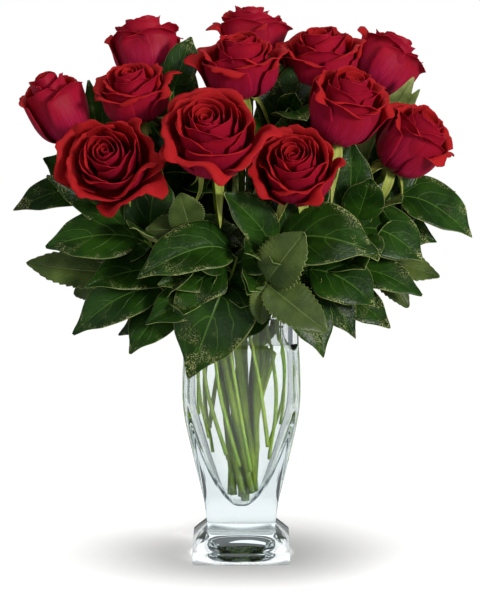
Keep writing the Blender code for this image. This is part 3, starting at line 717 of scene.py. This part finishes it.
def makeBloom(rose, base, axis, finishes, random):
    s = bloomSettings
    radius, height, openness, roll, count = s[rose]
    side, up = squareTo(axis)
    order = np.arange(count) / (count - 1)
    turns = np.radians(s["goldenAngle"]) * np.arange(count) + random.uniform(0, 6.28)
    turns = turns + random.uniform(-0.15, 0.15, count)
    rimRadius = radius * (0.05 + (0.66 + 0.16 * openness) * order ** (1.10 - 0.15 * openness))
    rimRadius = rimRadius * random.uniform(0.94, 1.06, count)
    rimHeight = height * (0.88 + 0.08 * np.sin(math.pi * np.minimum(order * 1.5, 1.0))
                          - (0.16 + 0.26 * openness) * np.clip(order - 0.35, 0, 1) ** 1.1)
    rimHeight = rimHeight * random.uniform(0.955, 1.02, count)
    halfWidth = 0.0095 + (0.84 * radius - 0.0095) * order ** 0.85
    rollAngle = np.radians(roll) * (0.15 + 0.85 * smoothStep(0.25, 0.95, order))
    rollAngle = rollAngle * random.uniform(0.7, 1.25, count)
    rollLength = 0.0022 + 0.0110 * order ** 1.5 * (0.6 + 0.4 * openness)
    reflex = (0.015 + 0.20 * (0.4 + 0.6 * openness) * order ** 2.5) * random.uniform(0.2, 1.7, count)
    tips = 0.10 * smoothStep(0.3, 0.9, order) * random.uniform(0.1, 1.8, count)
    shift = np.array(s["whorlShift"].get(rose, (0.0, 0.0, 0.0)))
    waves = random.uniform(0.7, 1.5, count)
    phases = random.uniform(0, 6.28, count)
    swell = 0.0004 + 0.0016 * order
    dents = random.uniform(0, 6.28, (count, 3))
    nick = random.uniform(0.004, 0.013, count) * (0.3 + 0.7 * order)
    lean = random.uniform(-0.05, 0.05, count)
    skew = random.uniform(-0.10, 0.10, count) * order
    petals = addSheets(rose + "_petals", s["across"], s["along"], count)

    def place(k, u, v):
        f, rim, top = order[k], rimRadius[k], rimHeight[k]
        edge = np.abs(u)
        point = np.exp(-(u / 0.15) ** 2)      # the petal's outline: round, with a small tip and a nicked rim
        v = v * (1.0 - (0.10 + 0.06 * f) * edge ** 2.6 + skew[k] * u * v) + tips[k] * v ** 4 * point
        nicked = np.sin(13 * u + phases[k]) + np.sin(23 * u + 3 * phases[k])
        v = v + nick[k] * nicked * np.clip(v, 0, 1) ** 5
        rollStart = 0.91 - 0.13 * f - 0.10 * f * edge ** 2
        t = np.clip(v / rollStart, 0.0, 1.0)

        # its side view is a curve from base to rim, which then rolls outwards
        r0, h0 = 0.0026 + 0.0026 * f, -0.001 + 0.0015 * (1 - f)
        r1, h1 = rim * (0.60 + 0.40 * f) + 0.002, 0.02 * top
        r2, h2 = rim * (1.14 - 0.16 * f * openness), (0.62 - 0.10 * f) * top
        b0, b1, b2, b3 = (1 - t) ** 3, 3 * t * (1 - t) ** 2, 3 * t * t * (1 - t), t ** 3
        r = b0 * r0 + b1 * r1 + b2 * r2 + b3 * rim
        h = b0 * h0 + b1 * h1 + b2 * h2 + b3 * top
        start = np.arctan2(rim - r2, top - h2)
        part = np.clip((v - rollStart) / (1.0 - rollStart), 0.0, 1.25)
        bend = np.maximum(rollAngle[k] * (0.65 + 0.55 * edge ** 1.5), 0.05)
        curl = rollLength[k] / bend
        r = r + curl * (np.cos(start) - np.cos(start + bend * part))
        h = h + curl * (np.sin(start + bend * part) - np.sin(start))

        # its sides bend back, and its skin has ruffles and creases
        wing = smoothStep(0.35, 1.0, edge) * smoothStep(0.38, 0.9, v)
        r = r + radius * reflex[k] * wing
        h = h - 0.55 * radius * reflex[k] * wing ** 1.5
        r = r * (1.0 + (0.13 - 0.09 * f) * u) + lean[k] * r * smoothStep(0.3, 1.0, v) * 0.5
        ruffle = swell[k] * np.sin(u * math.pi * waves[k] + phases[k]) * smoothStep(0.5, 1.0, v)
        crease = np.sin(2.9 * u + dents[k, 0]) * np.sin(4.1 * v + dents[k, 1])
        crease = crease + 0.5 * np.sin(7.3 * u * v + dents[k, 2])
        ruffle = ruffle + 0.0012 * f * crease * smoothStep(0.2, 0.8, v)
        r = r + ruffle
        h = h + 0.8 * ruffle * np.cos(phases[k])

        # its width wraps round the bloom, and the inner petals lean with the whorl
        shape = 0.24 + 0.76 * np.sin(0.5 * math.pi * np.minimum(v / 0.60, 1.0))
        shape = shape * np.sqrt(np.clip(1.0 - 0.50 * np.clip((v - 0.62) / 0.38, 0, 1) ** 2.2, 0.1, 1.0))
        turn = turns[k] + u * (1.0 - 0.08 * wing) * halfWidth[k] * shape / np.maximum(r, 0.5 * rim)
        out = side[None] * np.cos(turn)[:, None] + up[None] * np.sin(turn)[:, None]
        points = base[None] + out * r[:, None] + axis[None] * h[:, None]
        points += shift[None] * ((1 - f) * np.clip(h / height, 0, 1))[:, None]
        points[:, 2] -= s["sag"] * openness * f ** 2 * np.clip(v, 0, 1) ** 2
        return points

    shapeSheets(petals, count, place)
    for finish in finishes:      # the skin's outside first, then its inner face
        petals.data.materials.append(finish)
    applyModifier(petals, "SOLIDIFY", thickness=s["thickness"], offset=-1.0, material_offset=1)
    handIn(petals, "rose_petals", rose + "_bloom")


# salal sprigs and rose leaves

sprigSettings = {
    "stem": 0.0019, "mouthHeight": 0.252, "mouthRadius": 0.0455, "twigTurn": 40, "step": 0.005,
    "frontPart": 0.045, "across": 16, "along": 30, "drawnTip": 0.50, "fillers": 9, "broader": 1.16,
    # bearing on the rim, height of the cut end, points after the rim, leaves (share of the way, tip, width)
    "sprigs": {
        "salal_left_high": (172, 0.128, ((-0.092, 0.012, 0.322), (-0.138, 0.010, 0.366)), (
            (1.00, (-0.226, -0.012, 0.356), 0.034), (0.80, (-0.152, 0.034, 0.478), 0.036),
            (0.60, (-0.168, 0.062, 0.352), 0.040), (0.42, (-0.118, 0.040, 0.388), 0.036))),
        "salal_left_middle": (204, 0.112, ((-0.070, -0.042, 0.308), (-0.094, -0.062, 0.332)), (
            (1.00, (-0.189, -0.070, 0.326), 0.048), (0.90, (-0.190, -0.040, 0.392), 0.030),
            (0.60, (-0.150, 0.012, 0.296), 0.040), (0.42, (-0.150, -0.088, 0.290), 0.042))),
        "salal_left_low": (226, 0.100, ((-0.052, -0.050, 0.268), (-0.072, -0.060, 0.284)), (
            (1.00, (-0.165, -0.066, 0.240), 0.046), (0.60, (-0.108, -0.084, 0.224), 0.040),
            (0.30, (-0.122, -0.030, 0.232), 0.038))),
        "salal_front_left": (249, 0.094, ((-0.020, -0.062, 0.276), (-0.010, -0.078, 0.300),
                                          (-0.004, -0.084, 0.320)), (
            (1.00, (-0.099, -0.130, 0.307), 0.048), (0.62, (-0.052, -0.106, 0.204), 0.072),
            (0.80, (-0.066, -0.094, 0.272), 0.046), (0.35, (-0.092, -0.100, 0.256), 0.040))),
        "salal_front_right": (277, 0.120, ((0.012, -0.060, 0.272), (0.040, -0.066, 0.292),
                                           (0.058, -0.068, 0.304)), (
            (0.25, (0.002, -0.092, 0.240), 0.034), (0.60, (0.080, -0.090, 0.222), 0.042),
            (1.00, (0.130, -0.090, 0.274), 0.050), (0.80, (0.112, -0.066, 0.236), 0.040))),
        "salal_right_front": (303, 0.104, ((0.032, -0.054, 0.290), (0.033, -0.076, 0.328)), (
            (1.00, (0.129, -0.120, 0.330), 0.062), (0.92, (-0.018, -0.104, 0.385), 0.036),
            (0.72, (0.104, -0.070, 0.342), 0.040))),
        "salal_right_middle": (327, 0.138, ((0.085, -0.038, 0.292), (0.112, -0.040, 0.344)), (
            (0.55, (0.177, -0.060, 0.279), 0.036), (0.95, (0.178, -0.050, 0.310), 0.052),
            (1.00, (0.124, -0.072, 0.392), 0.036), (0.32, (0.146, -0.060, 0.246), 0.040))),
        "salal_right_high": (352, 0.115, ((0.105, -0.004, 0.315), (0.148, 0.004, 0.364)), (
            (1.00, (0.228, -0.010, 0.326), 0.046), (0.84, (0.215, 0.028, 0.368), 0.036),
            (0.44, (0.164, 0.050, 0.296), 0.042), (0.70, (0.196, 0.016, 0.318), 0.038))),
        "salal_tall_left": (150, 0.150, ((-0.052, 0.020, 0.360), (-0.070, 0.004, 0.452),
                                         (-0.068, 0.000, 0.470)), (
            (1.00, (-0.049, 0.000, 0.524), 0.030), (0.60, (-0.074, -0.040, 0.395), 0.034),
            (0.40, (-0.092, 0.020, 0.420), 0.036), (0.25, (-0.016, -0.036, 0.378), 0.034))),
        "salal_tall_right": (30, 0.142, ((0.046, 0.020, 0.360), (0.046, 0.006, 0.440),
                                         (0.048, 0.000, 0.458)), (
            (1.00, (0.040, 0.038, 0.510), 0.018), (0.90, (0.052, -0.030, 0.470), 0.024),
            (0.45, (0.090, 0.004, 0.402), 0.036), (0.25, (0.004, 0.036, 0.366), 0.034))),
        "salal_back_left": (128, 0.108, ((-0.070, 0.070, 0.300), (-0.100, 0.092, 0.350)), (
            (1.00, (-0.176, 0.106, 0.372), 0.046), (0.78, (-0.120, 0.142, 0.420), 0.042),
            (0.55, (-0.132, 0.098, 0.258), 0.050), (0.30, (-0.090, 0.112, 0.224), 0.042))),
        "salal_back": (104, 0.132, ((-0.022, 0.078, 0.300), (-0.030, 0.100, 0.360)), (
            (1.00, (-0.046, 0.146, 0.450), 0.044), (0.88, (-0.082, 0.157, 0.330), 0.048),
            (0.50, (-0.050, 0.130, 0.232), 0.056), (0.72, (-0.006, 0.134, 0.392), 0.040))),
        "salal_back_right": (80, 0.098, ((0.026, 0.080, 0.300), (0.044, 0.098, 0.352)), (
            (1.00, (0.066, 0.140, 0.440), 0.044), (0.90, (0.112, 0.155, 0.342), 0.050),
            (0.50, (0.036, 0.132, 0.236), 0.056), (0.70, (0.012, 0.144, 0.318), 0.044))),
        "salal_right_back": (54, 0.124, ((0.078, 0.064, 0.296), (0.108, 0.074, 0.344)), (
            (1.00, (0.190, 0.092, 0.362), 0.046), (0.90, (0.178, 0.042, 0.468), 0.034),
            (0.55, (0.140, 0.096, 0.256), 0.050), (0.34, (0.098, 0.112, 0.222), 0.042))),
    },
}
sprigSettings["extras"] = {      # further leaves between the blooms
    "salal_tall_right": ((0.50, (0.046, -0.040, 0.456), 0.048), (0.62, (0.018, 0.004, 0.472), 0.042),
                         (0.55, (0.072, -0.004, 0.474), 0.042), (0.40, (0.020, -0.050, 0.420), 0.048),
                         (0.80, (0.024, 0.012, 0.506), 0.044), (0.85, (0.066, 0.010, 0.502), 0.042),
                         (0.55, (0.036, 0.046, 0.482), 0.050), (0.30, (0.012, 0.004, 0.420), 0.046)),
    "salal_tall_left": ((0.62, (-0.040, -0.034, 0.468), 0.042), (0.80, (-0.066, 0.020, 0.512), 0.044),
                        (0.45, (-0.070, -0.060, 0.424), 0.044), (0.70, (-0.108, 0.004, 0.456), 0.038),
                        (0.30, (-0.012, 0.006, 0.412), 0.048), (0.50, (-0.024, 0.030, 0.470), 0.046)),
    "salal_left_middle": ((0.90, (-0.078, -0.070, 0.402), 0.046),),
    "salal_left_high": ((0.85, (-0.150, -0.010, 0.428), 0.046), (0.95, (-0.196, 0.004, 0.404), 0.040)),
    "salal_right_front": ((0.60, (0.034, -0.052, 0.412), 0.048), (0.80, (0.086, -0.056, 0.404), 0.046)),
    "salal_right_middle": ((0.80, (0.106, -0.040, 0.428), 0.042),),
    "salal_right_high": ((0.90, (0.160, 0.030, 0.448), 0.046),),
    "salal_right_back": ((0.85, (0.172, 0.036, 0.480), 0.044),),
}
roseLeafSettings = {
    "stalk": 0.0011, "teeth": 15, "broader": 1.28, "drawnTip": 0.18,
    # the rose that bears it, height on its stem, where the leaflets meet, leaflets (tip, width)
    "leaves": {
        "rose_leaf_front": ("rose_03", 0.292, (0.023, -0.116, 0.300), (
            ((0.058, -0.134, 0.352), 0.042), ((0.081, -0.134, 0.256), 0.038),
            ((0.018, -0.122, 0.262), 0.022))),
        "rose_leaf_left": ("rose_01", 0.300, (-0.116, -0.046, 0.297), (
            ((-0.211, -0.030, 0.304), 0.034), ((-0.166, -0.034, 0.274), 0.032))),
        "rose_leaf_centre": ("rose_02", 0.318, (-0.048, -0.084, 0.345), (
            ((-0.058, -0.102, 0.384), 0.030), ((-0.092, -0.086, 0.346), 0.028))),
        "rose_leaf_right": ("rose_05", 0.322, (0.120, -0.018, 0.312), (
            ((0.166, -0.030, 0.260), 0.030), ((0.196, -0.026, 0.290), 0.030))),
        "rose_leaf_back_left": ("rose_10", 0.330, (-0.080, 0.066, 0.378), (
            ((-0.122, 0.064, 0.438), 0.034), ((-0.156, 0.056, 0.386), 0.032))),
        "rose_leaf_back_right": ("rose_07", 0.330, (0.092, 0.086, 0.372), (
            ((0.152, 0.106, 0.402), 0.036), ((0.090, 0.120, 0.424), 0.034))),
    },
}


def branchRoute(bearing, foot, after):      # the same way that the CAD sprig takes
    s = sprigSettings
    middle = 0.5 * (foot + s["mouthHeight"])

    def onRim(degrees, radius, height):
        return (radius * math.cos(math.radians(degrees)), radius * math.sin(math.radians(degrees)), height)

    low = onRim(bearing + s["twigTurn"], cavityHalf(foot) - 0.0055, foot)
    wall = onRim(bearing + 0.4 * s["twigTurn"], min(cavityHalf(middle) - 0.0045, s["mouthRadius"]), middle)
    return smoothRoute([low, wall, onRim(bearing, s["mouthRadius"], s["mouthHeight"]), *after], s["step"])


def leafFacing(start, tip):
    middle = (np.asarray(start) + np.asarray(tip)) / 2
    front = 1.0 if middle[1] > sprigSettings["frontPart"] else -1.0
    return np.array([1.5 * middle[0], 0.8 * front, 0.6])


def makeBlades(name, specs, finishes, random, drawnTip, teeth=0, petiole=0.011, thickness=0.0006):
    # specs: start, leaving direction, tip, width for each leaf
    s = sprigSettings
    count = len(specs)
    start = np.array([spec[0] for spec in specs])
    leave = unit(np.array([spec[1] for spec in specs]))
    tip = np.array([spec[2] for spec in specs])
    width = np.array([spec[3] for spec in specs])
    reach = np.linalg.norm(tip - start, axis=1)
    bend = start + leave * (0.42 * reach)[:, None]
    face = np.array([leafFacing(a, b) for a, b in zip(start, tip)])
    across = np.cross(tip - start, face)
    stalk = petiole / reach
    fold = random.uniform(0.10, 0.28, count)
    wavy = random.uniform(0.018, 0.042, count)
    phase = random.uniform(0, 6.28, count)
    droop = random.uniform(-0.03, 0.05, count)
    rows = s["along"] if not teeth else 4 * teeth
    blades = addSheets(name, s["across"], rows, count)

    def place(k, u, v):
        share = v[:, None]
        first = start[k] + (bend[k] - start[k]) * share
        second = bend[k] + (tip[k] - bend[k]) * share
        middle = first + (second - first) * share
        along = unit((bend[k] - start[k]) * (1 - share) + (tip[k] - bend[k]) * share)
        side = unit(across[k] - along * (along * across[k]).sum(1)[:, None])
        normal = np.cross(side, along)
        blade = np.clip((v - stalk[k]) / (1 - stalk[k]), 0.0, 1.0)
        outline = 2.26 * blade ** 0.50 * (1 - blade) ** 0.70 * (1 - drawnTip * smoothStep(0.76, 0.97, blade))
        if teeth:
            outline = outline * (1.0 - 0.13 * np.mod(-v * teeth, 1.0))
        half = 0.0009 + (0.5 * width[k] - 0.0009) * outline
        edge = np.abs(u)
        lift = fold[k] * edge * half - 0.10 * half * edge ** 3
        lift = lift + wavy[k] * width[k] * np.sin(v * 15 + phase[k] + 1.5 * np.sign(u)) * edge ** 2 * blade
        lift = lift - 0.0007 * np.exp(-(u * half / 0.0012) ** 2) * (blade > 0) * (half > 0.003)
        lift = lift - droop[k] * reach[k] * smoothStep(0.6, 1.0, v) * (v > 0.6)
        return middle + side * (u * half)[:, None] + normal * lift[:, None]

    shapeSheets(blades, count, place)
    for finish in finishes:      # the top first, then the underside
        blades.data.materials.append(finish)
    applyModifier(blades, "SOLIDIFY", thickness=thickness, offset=-1.0, material_offset=1,
                  material_offset_rim=1)
    return blades


def leafStart(top, share, tip):      # where a leaf leaves its stem, and in which direction
    at = share * (len(top) - 1) - 0.35
    i = max(int(at), 0)
    j = min(i + 1, len(top) - 1)
    start = top[i] + (top[j] - top[i]) * (at - i)
    return start, unit(top[j] - top[i]) * 0.7 + unit(np.array(tip) - start) * 0.8 + (0, 0, 0.30)


def fillers(top, random):      # smaller leaves that close the gaps round a sprig's stem
    s = sprigSettings
    out = unit(top[-1] * (1, 1, 0))
    across = np.cross((0, 0, 1), out)
    specs = []
    inner = np.hypot(*top[-1][:2]) < 0.08      # the sprigs that stand upright in the middle
    for i, share in enumerate(np.linspace(0.08, 0.9, s["fillers"] * (2 if inner else 1))):
        at = share * (len(top) - 1)
        start = top[int(at)] + (top[min(int(at) + 1, len(top) - 1)] - top[int(at)]) * (at - int(at))
        sway = (-1) ** i * random.uniform(0.7, 1.1)
        if i % 3 and not inner:
            outward = random.uniform(0.3, 0.9)
        else:
            outward = random.uniform(-1.0, 0.4 if inner else -0.2)
        way = unit(out * outward + across * sway + (0, 0, random.uniform(-0.25, 0.65)))
        tip = start + way * random.uniform(0.058, 0.085)
        tip[2] = np.clip(tip[2], 0.245, max(0.385, 0.6 * top[-1][2] + 0.4 * start[2]))
        specs.append((start, way * 0.7 + (0, 0, 0.45), tip, random.uniform(0.036, 0.048)))
    return specs


def makeSprig(name, finishes, random):
    s = sprigSettings
    bearing, foot, after, leaves = s["sprigs"][name]
    route = branchRoute(bearing, foot, after)
    top = route[int(np.argmax(route[:, 2] >= s["mouthHeight"])):]
    specs = [(*leafStart(top, share, tip), np.array(tip), width * s["broader"])
             for share, tip, width in (*leaves, *s["extras"].get(name, ()))]
    specs += fillers(top, random)
    blades = makeBlades(name + "_blades", specs, finishes[:2], random, s["drawnTip"])
    radii = s["stem"] * np.linspace(1.2, 0.6, len(route))
    stem = roundTube(name + "_twig", route, radii, 10)
    stem.data.materials.append(finishes[2])
    sprig = joinAs(name + "_leaves", [blades, stem])
    handIn(sprig, "salal_leaves", name)


def makeRoseLeaf(name, route, finishes, random):
    s = roseLeafSettings
    rose, height, fork, leaflets = s["leaves"][name]
    at = route[int(np.argmin(np.abs(route[:, 2] - height)))]
    fork = np.array(fork)
    way = unit(fork - at)
    stalk = smoothRoute([at + way * 0.002, (at + fork) / 2 + (0, 0, 0.007), fork], 0.005)
    specs = []
    for tip, width in leaflets:
        tip = np.array(tip)
        inside = stalk[-1] * 0.7 + stalk[-2] * 0.3
        specs.append((inside, way * 0.5 + unit(tip - fork), tip, width * s["broader"]))
    blades = makeBlades(name + "_blades", specs, finishes[:2], random, s["drawnTip"], s["teeth"],
                        petiole=0.005, thickness=0.0005)
    radii = s["stalk"] * np.linspace(1.5, 0.8, len(stalk))
    stem = roundTube(name + "_stalk", stalk, radii, 10)
    stem.data.materials.append(finishes[2])
    leaf = joinAs(name + "_leaflets", [blades, stem])
    handIn(leaf, "rose_leaves", name)


def main():
    setStage(stageSettings)
    p, salal, leaflet = petalSettings, leafSettings, leafSettings["leaflet"]
    petalFace = petalFinish("velvety rose petal face", p["faceBright"], p["faceDeep"],
                            sheen=0.08, roughness=0.6)
    petalBack = petalFinish("satin rose petal back", p["backBright"], p["backDeep"],
                            sheen=0.16, roughness=0.42, streakHighlight=0.6)
    # the salal top carries painted glints
    leafTop = leafFinish("waxy salal leaf top", salal["top"], salal["topLight"], salal["vein"],
                         roughness=0.36, coat=0.04, paintedGlint=0.55, **salal["grain"])
    leafUnder = leafFinish("matt salal leaf underside", salal["under"], salal["rim"], salal["rim"],
                           roughness=0.6, coat=0.0, **salal["grain"])
    roseLeafTop = leafFinish("dull rose leaflet top", leaflet["top"], leaflet["topLight"], leaflet["vein"],
                             roughness=0.5, coat=0.08, **leaflet["grain"])
    roseLeafUnder = leafFinish("pale rose leaflet underside", leaflet["under"], leaflet["underLight"],
                               leaflet["underVein"], roughness=0.65, coat=0.0, **leaflet["grain"])
    roseBark = stemFinish("fresh rose stem", "#3c5405", "#647c14", "#223a08")
    twigBark = stemFinish("green salal twig", "#5b7c22", "#788f30", "#3f4c1a")
    sepalSkin = stemFinish("pale rose sepal", "#8c9a40", "#adb65c", "#66762c")

    makeVase(glassFinish())
    makeWater(waterFinish())
    for number, rose in enumerate(roseNames):
        random = np.random.default_rng(101 + number)
        route = centreLine(rose + "_stem")
        axis = unit(route[-1] - route[-2])
        hipBase = route[-1]
        makeStem(rose, route, roseBark, random)
        makeCalyx(rose, hipBase, axis, sepalSkin, random)
        bloomBase = hipBase + axis * (calyxSettings["hipLength"] + 2 * calyxSettings["gap"])
        makeBloom(rose, bloomBase, axis, (petalBack, petalFace), random)
        for name, spec in roseLeafSettings["leaves"].items():
            if spec[0] == rose:
                makeRoseLeaf(name, route, (roseLeafTop, roseLeafUnder, roseBark), random)
        print(rose, "made")
    for number, name in enumerate(sprigSettings["sprigs"]):
        makeSprig(name, (leafTop, leafUnder, twigBark), np.random.default_rng(301 + number))
    print("sprigs made")


main()
